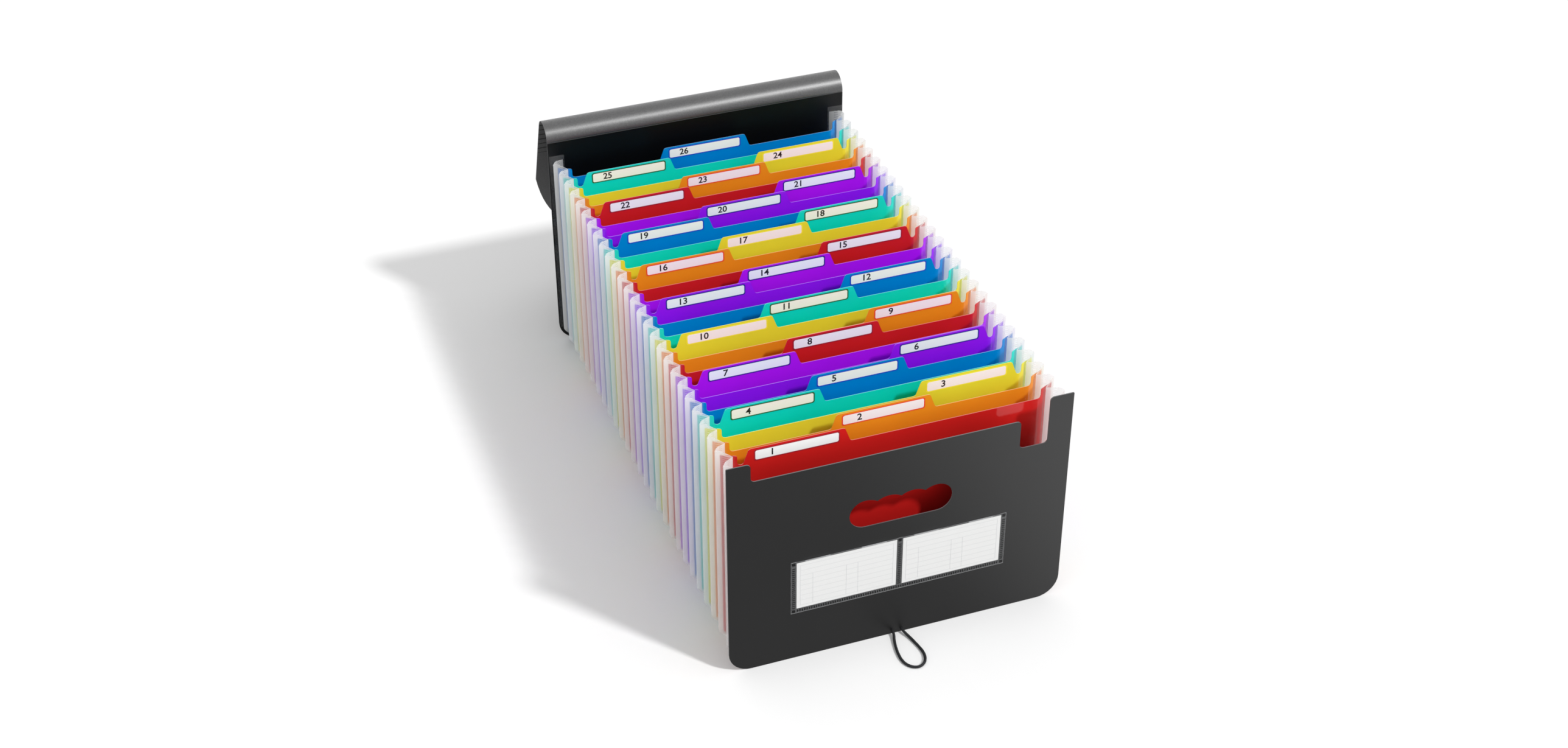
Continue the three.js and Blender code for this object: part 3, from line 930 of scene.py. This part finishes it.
# %% Make the flaps of each colour
for i, name in enumerate(COLOUR_NAMES):
    pair = joined(*(flap_solid(divider_middles[i], side) for side in (-1, 1)))
    tone = DIVIDER_COLOURS[name]
    finish = milky_film(f"{name}_flap_film", tone, cover=0.6, through=0.5, rim_cover=0.6)
    flaps = new_piece(f"weld_flaps_{name}", *pair, finish)
    count = len(DIVIDERS[i :: len(COLOUR_NAMES)])
    step = (0.0, PITCH * len(COLOUR_NAMES), 0.0)
    copied(flaps, finish, (count, step))
    close_with_panel(flaps)
    print(flaps.name, "flaps:", 2 * count)

# %% [markdown]
# ## Lid
#
# The lid is the rear panel's own sheet, scored every few millimetres so that it rolls back over the
# top and hangs behind. The solids cut it into strips with a gap at each score. Here it is one smooth
# sheet again, with a shallow groove pressed into its underside at each score, split only where a
# hinge of the imported model sits. The stretches stay in the rolled-back pose; only the scored part
# of the flap moves with its hinge's body.

# %% Finishes of the lid, whose sides are its cut edges
# The lid is the panels' own sheet, but its tone is painted lighter: painted light on the curl.
LID_PAINTED_LIGHT_TONE = (34, 34, 35)
LID_ROUGHNESS = 0.34
LID_SHINE = 1.0
LID_GRAIN = 0.11 * MM
LID_COAT = 0.9


def lid_sheet(name, tone, cut_edge, underside=None):
    return black_sheet(
        name, tone, LID_ROUGHNESS, LID_SHINE, LID_GRAIN, cut_edge, underside, coat=LID_COAT
    )


LID_SHEET = lid_sheet("black_lid_sheet", LID_PAINTED_LIGHT_TONE, side_edge)
LID_UNDERSIDE_PAINTED_LIGHT = lid_sheet("black_lid_underside_painted_light", UNDERSIDE_PAINTED_LIGHT_TONE, side_edge)
print("finishes:", LID_SHEET.name, LID_UNDERSIDE_PAINTED_LIGHT.name)

# %% Middle line of the lid, by its length from the crease
SHEET = rear_high.y - rear_low.y
SCORE_PITCH = 7.4 * MM
CURL_SCORES = 6
CURL_ANGLE = math.radians(159)
CURL_RADIUS = CURL_SCORES * SCORE_PITCH / CURL_ANGLE
SCORE_GAP = 0.5 * MM
crease = Vector(((rear_low.y + rear_high.y) / 2, rear_high.z + SCORE_GAP / 2))


def lid_point(length):
    """Place on the lid's middle line, and the direction out of its upper face there."""
    curled = min(max(length, 0), CURL_SCORES * SCORE_PITCH)
    angle = curled / CURL_RADIUS
    beyond = length - curled
    y = crease.x + CURL_RADIUS * (1 - math.cos(angle)) + beyond * math.sin(angle)
    z = crease.y + CURL_RADIUS * math.sin(angle) + beyond * math.cos(angle)
    return Vector((y, z)), Vector((-math.cos(angle), math.sin(angle)))


print("top of the curl:", round(max(lid_point(k * MM)[0].y for k in range(60)) / MM, 1), "mm")

# %% Shape one stretch of the lid with its score grooves
GROOVE_DEPTH = 0.4 * MM
GROOVE_REACH = 0.7 * MM
CREASE_DEPTH = 0.45 * MM
CREASE_REACH = 0.9 * MM
LID_STEP = 0.3 * MM
# A sheet's two ends come first, then four faces for each step, the third of them underneath.
UNDERNEATH = slice(4, None, 4)


def groove(length):
    """Depth of the pressed scores at this length from the crease."""
    away = abs(length / SCORE_PITCH - round(length / SCORE_PITCH)) * SCORE_PITCH
    return GROOVE_DEPTH * max(1 - away / GROOVE_REACH, 0)


def crease_line(length):
    """Depth of the sharp crease pressed into the upper face where the lid starts."""
    return CREASE_DEPTH * max(1 - abs(length) / CREASE_REACH, 0)


def lid_stretch(name, start, end):
    steps = round((end - start) / LID_STEP)
    pairs = []
    for k in range(steps + 1):
        length = start + (end - start) * k / steps
        middle, out = lid_point(length)
        upper = middle + out * (SHEET / 2 - crease_line(length))
        pairs.append((upper, middle - out * (SHEET / 2 - groove(length))))
    solid = drawn_across(pairs, -HALF_WIDTH, HALF_WIDTH)
    made = new_piece(name, *solid, LID_SHEET, LID_UNDERSIDE_PAINTED_LIGHT)
    # Underside faces in a score groove keep the darker finish, painted shade in the grooves; the rest of
    # the underside takes the lighter finish, painted light.
    for k, face in enumerate(list(made.data.polygons)[UNDERNEATH]):
        face.material_index = int(groove(start + (end - start) * (k + 0.5) / steps) == 0)
    return made


# %% Make the stretches between the hinges, and the scored part of the flap
LID_BODIES = ["rear", "lid_curl_1", "lid_curl_2", "lid_curl_3", "lid_flap"]
LID_ENDS = [0, 1, 3, 5, 7, 12]
for k, (before, after) in enumerate(zip(LID_BODIES, LID_BODIES[1:])):
    start, end = LID_ENDS[k] * SCORE_PITCH, LID_ENDS[k + 1] * SCORE_PITCH
    stretch = lid_stretch(f"lid_curl_sheet_{k + 1}", start - (SCORE_GAP / 2 if k == 0 else 0), end)
    first, last = lid_point(start)[0], lid_point(end)[0]
    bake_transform(stretch)
    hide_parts(*(f"lid_strip_{s + 1:02d}" for s in range(LID_ENDS[k], LID_ENDS[k + 1])))
    print(stretch.name, "faces:", len(stretch.data.polygons))

scored_end = LID_ENDS[-1] * SCORE_PITCH + SCORE_GAP / 2
scored = lid_stretch("lid_scored_sheet", LID_ENDS[-2] * SCORE_PITCH, scored_end)
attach(scored, "lid_flap")
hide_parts(*(f"lid_strip_{s + 1:02d}" for s in range(LID_ENDS[-2], LID_ENDS[-1])))
print(scored.name, "faces:", len(scored.data.polygons))

# %% Finish the tongue of the lid
flap_out = lid_point(LID_ENDS[-1] * SCORE_PITCH)[1]


def tongue_edge(graph):
    return graph.facing((0, flap_out.x, flap_out.y)) < LOOKS_ALONG


def tongue_underside(graph):
    return graph.toward((0, flap_out.x, flap_out.y)) < 0


# The tongue's underside takes the lighter underside tone, painted light.
TONGUE_SHEET = lid_sheet("black_tongue_sheet", LID_PAINTED_LIGHT_TONE, tongue_edge, tongue_underside)
dress("lid_flap", TONGUE_SHEET)
print("finish:", TONGUE_SHEET.name)

# %% Finish the lid's button and the loop's stops
def moulded_black():
    finish, graph = new_finish("moulded_black_plastic")
    place = graph.place()
    grain = graph.noise(place, 0.5 * MM)
    cloud = graph.noise(place, 5 * MM)
    shade = graph.mix(cloud, colour(20, 20, 21), colour(34, 34, 36))
    graph.surface(
        graph.principled(
            base_color=shade,
            roughness=0.3 + 0.12 * grain,
            normal=graph.bump(grain, 0.03 * MM, 0.4),
        )
    )
    return finish


MOULDED_BLACK = moulded_black()
for node in ("lid_button", "loop_stop_left", "loop_stop_right"):
    dress(node, MOULDED_BLACK)
print("finish:", MOULDED_BLACK.name)

# %% [markdown]
# ## Ruled cards
#
# Two white cards stand in the sleeve, ruled like a record card: lines across, a frame at both sides
# and three columns that start below the heading lines. The lines are drawn by the finish from each
# card's own corner, so both cards have the same ruling and it slides with the card.

# %% Finish of a ruled card
RULE_PITCH = 5.81 * MM
RULE_COUNT = 9
RULE_FOOT = 3.1 * MM
RULE_INSET = 3.5 * MM
RULE_WIDTH = 0.28 * MM
RULE_INK = 0.35
COLUMN_INK = 0.7
RULE_TONE = (120, 124, 132)
DOT_PITCH = 1.2 * MM
DOT_SHARE = 0.7
HEADING_RULES = 2
COLUMNS = (15.6 * MM, 48 * MM, 59.3 * MM)


def ruled_card(name, low, high):
    finish, graph = new_finish(name)
    place = graph.place()
    x, _, z = graph.axes(place)
    across, up = x - low.x, z - low.z
    width = high.x - low.x
    top = RULE_FOOT + (RULE_COUNT - 1) * RULE_PITCH
    column_top = top - HEADING_RULES * RULE_PITCH
    inside = (across > RULE_INSET) * (across < width - RULE_INSET)
    ruled = (up > RULE_FOOT - RULE_WIDTH) * (up < top + RULE_WIDTH)
    step = ((up - RULE_FOOT) / RULE_PITCH + 0.5).fraction() - 0.5
    ink = RULE_INK * (abs(step) < RULE_WIDTH / 2 / RULE_PITCH) * inside * ruled
    dotted = COLUMN_INK * ((up / DOT_PITCH).fraction() < DOT_SHARE) * ruled
    for edge in (RULE_INSET, width - RULE_INSET):
        ink = ink.larger((abs(across - edge) < RULE_WIDTH / 2) * dotted)
    for column in COLUMNS:
        ink = ink.larger((abs(across - column) < RULE_WIDTH / 2) * dotted * (up < column_top))
    fibre = graph.noise(place, 0.6 * MM, 4.0)
    paper = graph.mix(fibre, colour(212, 212, 211), colour(220, 220, 219))
    graph.surface(
        graph.principled(
            base_color=graph.mix(ink, paper, colour(*RULE_TONE)),
            roughness=0.7 + 0.1 * fibre,
            normal=graph.bump(fibre, 0.03 * MM, 0.3),
            specular_ior_level=0.3,
        )
    )
    return finish


for node in ("card_left", "card_right"):
    dress(node, ruled_card(f"ruled_{node}", *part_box(node)))
    print("ruled:", node)

# %% [markdown]
# ## Clear sleeve
#
# The sleeve is a sheet of clear film, welded to the panel along its sides, its foot and its middle,
# and standing off a little where the cards slide in. The sheet is a grid whose depth depends on how
# near the next weld is, so it dips evenly to every weld.

# %% Finish of the clear film
def clear_film(name, cover):
    finish, graph = new_finish(name)
    place = graph.place()
    cloud = graph.noise(place, 25 * MM)
    edge = graph.facing((0, 1, 0)) < 0.35
    gloss = graph.principled(
        base_color=graph.mix(cloud, (0.8, 0.82, 0.84, 1.0), (0.9, 0.91, 0.92, 1.0)),
        roughness=0.12 + 0.06 * cloud,
        normal=graph.bump(cloud, 0.5 * MM, 0.3),
    )
    clear = graph.node("ShaderNodeBsdfTransparent")
    share = (cover + 0.02 * cloud).larger(0.6 * edge)
    graph.surface(graph.node("ShaderNodeMixShader", None, {0: share, 1: clear, 2: gloss}))
    return finish


SLEEVE_FILM = clear_film("clear_sleeve_film", 0.02)
BORDER_FILM = clear_film("hazy_border_film", 0.035)
print("finishes:", SLEEVE_FILM.name, BORDER_FILM.name)

# %% Shape the sleeve
sleeve_low, sleeve_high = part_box("label_sleeve")
SLEEVE_SHEET = 0.25 * MM
BORDER = 5 * MM
SEAM = 5.2 * MM
DIP_WIDTH = 1.2 * MM
SLEEVE_COLUMNS = 240
SLEEVE_ROWS = 60


def sleeve_weld(x, z):
    """Distance from the nearest welded border, zero or less inside it."""
    return min(abs(x) - SEAM / 2, sleeve_high.x - BORDER - abs(x), z - sleeve_low.z - BORDER)


def sleeve_depth(x, z):
    """How far the film's front stands off the panel."""
    near = min(max(sleeve_weld(x, z) / DIP_WIDTH, 0), 1)
    eased = near * near * (3 - 2 * near)
    pocket = sleeve_high.y - sleeve_low.y
    return SLEEVE_SHEET + (pocket - SLEEVE_SHEET) * eased


def sleeve_mesh():
    points, faces = [], []
    for layer in (0, SLEEVE_SHEET):
        for row in range(SLEEVE_ROWS + 1):
            z = sleeve_low.z + (sleeve_high.z - sleeve_low.z) * row / SLEEVE_ROWS
            for column in range(SLEEVE_COLUMNS + 1):
                x = sleeve_low.x + (sleeve_high.x - sleeve_low.x) * column / SLEEVE_COLUMNS
                points.append((x, sleeve_high.y - sleeve_depth(x, z) + layer, z))
    wide = SLEEVE_COLUMNS + 1
    back = wide * (SLEEVE_ROWS + 1)
    for row in range(SLEEVE_ROWS):
        for column in range(SLEEVE_COLUMNS):
            a = row * wide + column
            faces.append((a, a + 1, a + wide + 1, a + wide))
            faces.append((back + a + wide, back + a + wide + 1, back + a + 1, back + a))
    rim = list(range(wide))
    rim += [row * wide + SLEEVE_COLUMNS for row in range(1, SLEEVE_ROWS + 1)]
    rim += [SLEEVE_ROWS * wide + column for column in reversed(range(SLEEVE_COLUMNS))]
    rim += [row * wide for row in reversed(range(1, SLEEVE_ROWS))]
    for a, b in zip(rim, rim[1:] + rim[:1]):
        faces.append((b, a, back + a, back + b))
    return points, faces


sleeve = new_piece("sleeve_clear_film", *sleeve_mesh(), SLEEVE_FILM, BORDER_FILM)
for face in sleeve.data.polygons:
    face.material_index = int(sleeve_weld(face.center.x, face.center.z) < 0)
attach(sleeve, "front")
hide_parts("label_sleeve")
print("sleeve faces:", len(sleeve.data.polygons))

# %% [markdown]
# The welds themselves are rows of short pressed ticks: level ones up both sides and the middle, and
# upright ones along the foot, with a small square where the rows end. Pressing drives the haze out of
# the film, so the black panel shows through them.

# %% Press the ticks
TICK_PITCH = 2.3 * MM
TICK_LENGTH = 2.8 * MM
TICK_WIDTH = 1.15 * MM
TICK_RISE = 0.08 * MM
SQUARE = 3.2 * MM
TICK_START = 1.7 * TICK_PITCH
TICKS_LEFT_OUT = 2
PRESSED_TONE = (10, 10, 11)
tick_depth = sleeve_high.y - SLEEVE_SHEET - TICK_RISE / 2
tick_edge = sleeve_high.x - BORDER / 2
tick_foot = sleeve_low.z + BORDER / 2
tick_top = sleeve_high.z - BORDER / 2
PRESSED_ROUGHNESS = 0.3
PRESSED_SHINE = 0.5
PRESSED_CLEAR = black_sheet(
    "clear_weld_on_black", PRESSED_TONE, PRESSED_ROUGHNESS, PRESSED_SHINE, PANEL_GRAIN, panel_edge
)


def block(x, y, z, size):
    """A small block with its middle at this place."""
    wide, deep, tall = (length / 2 for length in size)
    sides = [(Vector((x - wide, depth)), Vector((x + wide, depth))) for depth in (y - deep, y + deep)]
    return upright_sheet(sides, lambda _: (z - tall, z + tall))


def pressed(name, solid, rows, columns=ONCE):
    marks = copied(new_piece(name, *solid, PRESSED_CLEAR), PRESSED_CLEAR, rows, columns)
    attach(marks, "front")
    print(name, "marks:", len(marks.data.polygons) // 6)


side_count = int((tick_top - tick_foot) / TICK_PITCH) - TICKS_LEFT_OUT
side_rows = (side_count, (0.0, 0.0, TICK_PITCH))
side_size = (TICK_LENGTH, TICK_RISE, TICK_WIDTH)
first_tick = block(-tick_edge, tick_depth, tick_foot + TICK_START, side_size)
pressed("sleeve_side_welds", first_tick, side_rows, (3, (tick_edge, 0.0, 0.0)))

foot_count = int(2 * tick_edge / TICK_PITCH) - TICKS_LEFT_OUT
foot_row = (foot_count, (TICK_PITCH, 0.0, 0.0))
foot_size = (TICK_WIDTH, TICK_RISE, TICK_LENGTH)
first_foot = -(foot_count - 1) / 2 * TICK_PITCH
pressed("sleeve_foot_welds", block(first_foot, tick_depth, tick_foot, foot_size), foot_row)

square_size = (SQUARE, TICK_RISE, SQUARE)
squares = [block(-tick_edge, tick_depth, z, square_size) for z in (tick_foot, tick_top)]
pressed("sleeve_corner_welds", joined(*squares), (2, (2 * tick_edge, 0.0, 0.0)))
pressed("sleeve_seam_weld", block(0, tick_depth, tick_top, square_size), ONCE)

# %% Turn out the lips where the cards go in
LIP_SIZE = (24.3 * MM, 0.3 * MM, 0.9 * MM)
LIPS = (-80 * MM, -25.6 * MM, 25.6 * MM, 79.5 * MM)
LIP_FILM = clear_film("lip_film", 0.12)
lip_blocks = [block(x, sleeve_low.y - LIP_SIZE[1], sleeve_high.z, LIP_SIZE) for x in LIPS]
lips = new_piece("sleeve_lips", *joined(*lip_blocks), LIP_FILM)
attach(lips, "front")
print("lips:", len(LIPS))

# %% [markdown]
# ## Tab labels
#
# Every tab carries a white sticker with a coloured border and a short mark near its left end. Plain
# numbers stand for the marks here. The sticker is a thin plate with rounded corners, and the number is
# Blender's own text, turned into a mesh and laid on it.

# %% Finishes of the labels
LABEL_BORDERS = [
    (160, 15, 35),
    (235, 75, 40),
    (245, 240, 60),
    (20, 95, 52),
    (15, 62, 200),
    (42, 22, 150),
    (46, 20, 140),
]


def printed_paper(name, shade):
    finish, graph = new_finish(name)
    place = graph.place()
    fibre = graph.noise(place, 0.5 * MM, 4.0)
    tint = graph.mix(fibre, shaded(colour(*shade), 0.95), shaded(colour(*shade), 1.03))
    graph.surface(
        graph.principled(
            base_color=tint,
            roughness=0.45 + 0.15 * fibre,
            normal=graph.bump(fibre, 0.02 * MM, 0.3),
        )
    )
    return finish


LABEL_WHITE = printed_paper("label_white_paper", (251, 251, 251))
LABEL_INK = printed_paper("label_dark_ink", (28, 27, 32))
LABEL_EDGES = [printed_paper(f"label_border_{i + 1}", shade) for i, shade in enumerate(LABEL_BORDERS)]
print("label borders:", len(LABEL_EDGES))

# %% Shape the plates of a label
LABEL_WIDTH = 80.4 * MM
LABEL_HEIGHT = 12.2 * MM
LABEL_CORNER = 2.4 * MM
LABEL_MIDDLE = 223.2 * MM
LABEL_BORDER = 1.2 * MM
LABEL_PAPER = 0.08 * MM
CORNER_STEPS = 6


def rounded_plate(middle_x, middle_z, width, height, corner, front, back):
    """A thin upright plate with round corners."""
    ring = []
    for quarter in range(4):
        way_x, way_z = (1, 1, -1, -1)[quarter], (-1, 1, 1, -1)[quarter]
        for k in range(CORNER_STEPS + 1):
            turn = math.pi / 2 * (quarter - 1 + k / CORNER_STEPS)
            x = middle_x + way_x * (width / 2 - corner) + corner * math.cos(turn)
            z = middle_z + way_z * (height / 2 - corner) + corner * math.sin(turn)
            ring.append((x, z))
    count = len(ring)
    points = [(x, front, z) for x, z in ring] + [(x, back, z) for x, z in ring]
    faces = [tuple(range(count)), tuple(reversed(range(count, 2 * count)))]
    for k in range(count):
        after = (k + 1) % count
        faces.append((after, k, count + k, count + after))
    return points, faces


# %% Shape its number
NUMBER_SIZE = 9.8 * MM
NUMBER_BOLD = 0.2 * MM
NUMBER_CURVE_STEPS = 3
NUMBER_PLACE = 0.212


def number_solid(text, middle_x, middle_z, front, back):
    """A number as thin raised figures on an upright face."""
    letters = bpy.data.curves.new("number", "FONT")
    letters.body = text
    letters.size = NUMBER_SIZE
    letters.align_x = "CENTER"
    letters.align_y = "CENTER"
    letters.offset = NUMBER_BOLD
    letters.extrude = (back - front) / 2
    letters.resolution_u = NUMBER_CURVE_STEPS
    holder = bpy.data.objects.new("number", letters)
    scene.collection.objects.link(holder)
    figures = bmesh.new()
    figures.from_mesh(holder.to_mesh())
    holder.to_mesh_clear()
    bpy.data.objects.remove(holder)
    bpy.data.curves.remove(letters)
    points, faces = merged(figures)
    return [(middle_x + p.x, (front + back) / 2 - p.z, middle_z + p.y) for p in points], faces


# %% Lay a label on every tab
TAB_PLACES = 3
OUTER_TAB = 90.15 * MM
WHITE_WIDTH = LABEL_WIDTH - 2 * LABEL_BORDER
WHITE_HEIGHT = LABEL_HEIGHT - 2 * LABEL_BORDER
WHITE_CORNER = LABEL_CORNER - LABEL_BORDER / 2
label_faces = 0
for i, (low, _) in enumerate(divider_boxes):
    tab_x = OUTER_TAB * (i % TAB_PLACES - 1)
    front = low.y - LABEL_PAPER
    white_front = front - LABEL_PAPER / 2
    border = rounded_plate(tab_x, LABEL_MIDDLE, LABEL_WIDTH, LABEL_HEIGHT, LABEL_CORNER, front, low.y)
    face = rounded_plate(
        tab_x, LABEL_MIDDLE, WHITE_WIDTH, WHITE_HEIGHT, WHITE_CORNER, white_front, front
    )
    number_x = tab_x + (NUMBER_PLACE - 0.5) * LABEL_WIDTH
    mark = number_solid(str(i + 1), number_x, LABEL_MIDDLE, front - LABEL_PAPER, white_front)
    finishes = (LABEL_EDGES[i % len(LABEL_EDGES)], LABEL_WHITE, LABEL_INK)
    label = new_piece(f"tab_label_{i + 1:02d}", *joined(border, face, mark), *finishes)
    for k, polygon in enumerate(label.data.polygons):
        polygon.material_index = (k >= len(border[1])) + (k >= len(border[1]) + len(face[1]))
    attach(label, DIVIDERS[i])
    label_faces += len(label.data.polygons)
print("labels:", len(divider_boxes), "faces:", label_faces)

# %% [markdown]
# ## Table, lamp and surroundings
#
# The table is a white sweep with one soft shadow falling to the left and back. A broad lamp
# from the front right makes the shadow and an even white room fills it. The floor is nearly white, so
# it reaches white where the lamp falls on it and keeps the shadow. What the black panel mirrors of the
# table is a painted reflection: gloss sees the floor as a glow that fades darker to the left. Only what
# the camera, gloss and clear film see of the room is set to full white.

# %% Floor
FLOOR_REACH = 6
FLOOR_DROP = 0.1 * MM
PAINTED_REFLECTION_DIM_X = 0.04
PAINTED_REFLECTION_BRIGHT_X = 0.3
PAINTED_REFLECTION_DIM_LEVEL = 0.32


def floor_finish():
    finish, graph = new_finish("white_sweep")
    place = graph.place()
    cloud = graph.noise(place, 0.8)
    tint = graph.mix(cloud, (0.91, 0.91, 0.91, 1.0), (0.93, 0.93, 0.93, 1.0))
    table = graph.principled(base_color=tint, roughness=0.9, specular_ior_level=0.0)
    # Gloss rays see the floor as a glow that fades darker to the left, a painted reflection on the black
    # panel.
    across, _, _ = graph.axes(place)
    ends = {"Value": across, "From Min": PAINTED_REFLECTION_DIM_X, "From Max": PAINTED_REFLECTION_BRIGHT_X}
    share = graph.node("ShaderNodeMapRange", {"interpolation_type": "SMOOTHSTEP"}, ends)
    painted_reflection_fade = graph.mix(share, (PAINTED_REFLECTION_DIM_LEVEL, PAINTED_REFLECTION_DIM_LEVEL, PAINTED_REFLECTION_DIM_LEVEL, 1.0), (1, 1, 1, 1))
    painted_reflection = graph.node("ShaderNodeEmission", None, {"Color": painted_reflection_fade})
    gloss = graph.node("ShaderNodeLightPath", output="Is Glossy Ray")
    graph.surface(graph.node("ShaderNodeMixShader", None, {0: gloss, 1: table, 2: painted_reflection}))
    return finish


corners = [(-1, -1), (1, -1), (1, 1), (-1, 1)]
floor_points = [(x * FLOOR_REACH, y * FLOOR_REACH, -FLOOR_DROP) for x, y in corners]
floor = new_piece("floor", floor_points, [(0, 1, 2, 3)], floor_finish())
print("floor:", 2 * FLOOR_REACH, "m across")

# %% Lamp and room
LAMP_TRAVEL = Vector((-0.438, 0.5615, -0.702))
LAMP_STRENGTH = 1.95
LAMP_SPREAD = math.radians(5)
ROOM_LIGHT = 0.76

lamp = bpy.data.objects.new("key_lamp", bpy.data.lights.new("key_lamp", "SUN"))
lamp.data.energy = LAMP_STRENGTH
lamp.data.angle = LAMP_SPREAD
lamp.rotation_euler = LAMP_TRAVEL.to_track_quat("-Z", "Y").to_euler()
scene.collection.objects.link(lamp)

scene.world = bpy.data.worlds.new("white_room")
scene.world.use_nodes = True
room = Graph(scene.world.node_tree)
path = room.node("ShaderNodeLightPath", output="Is Camera Ray")
seen = path.larger(path.other("Is Glossy Ray")).larger(path.other("Is Transmission Ray"))
strength = ROOM_LIGHT + (1 - ROOM_LIGHT) * seen
glow = room.node("ShaderNodeBackground", None, {"Color": (1, 1, 1, 1), "Strength": strength})
room.node("ShaderNodeOutputWorld", None, {"Surface": glow})
print("lamp and room are lit")
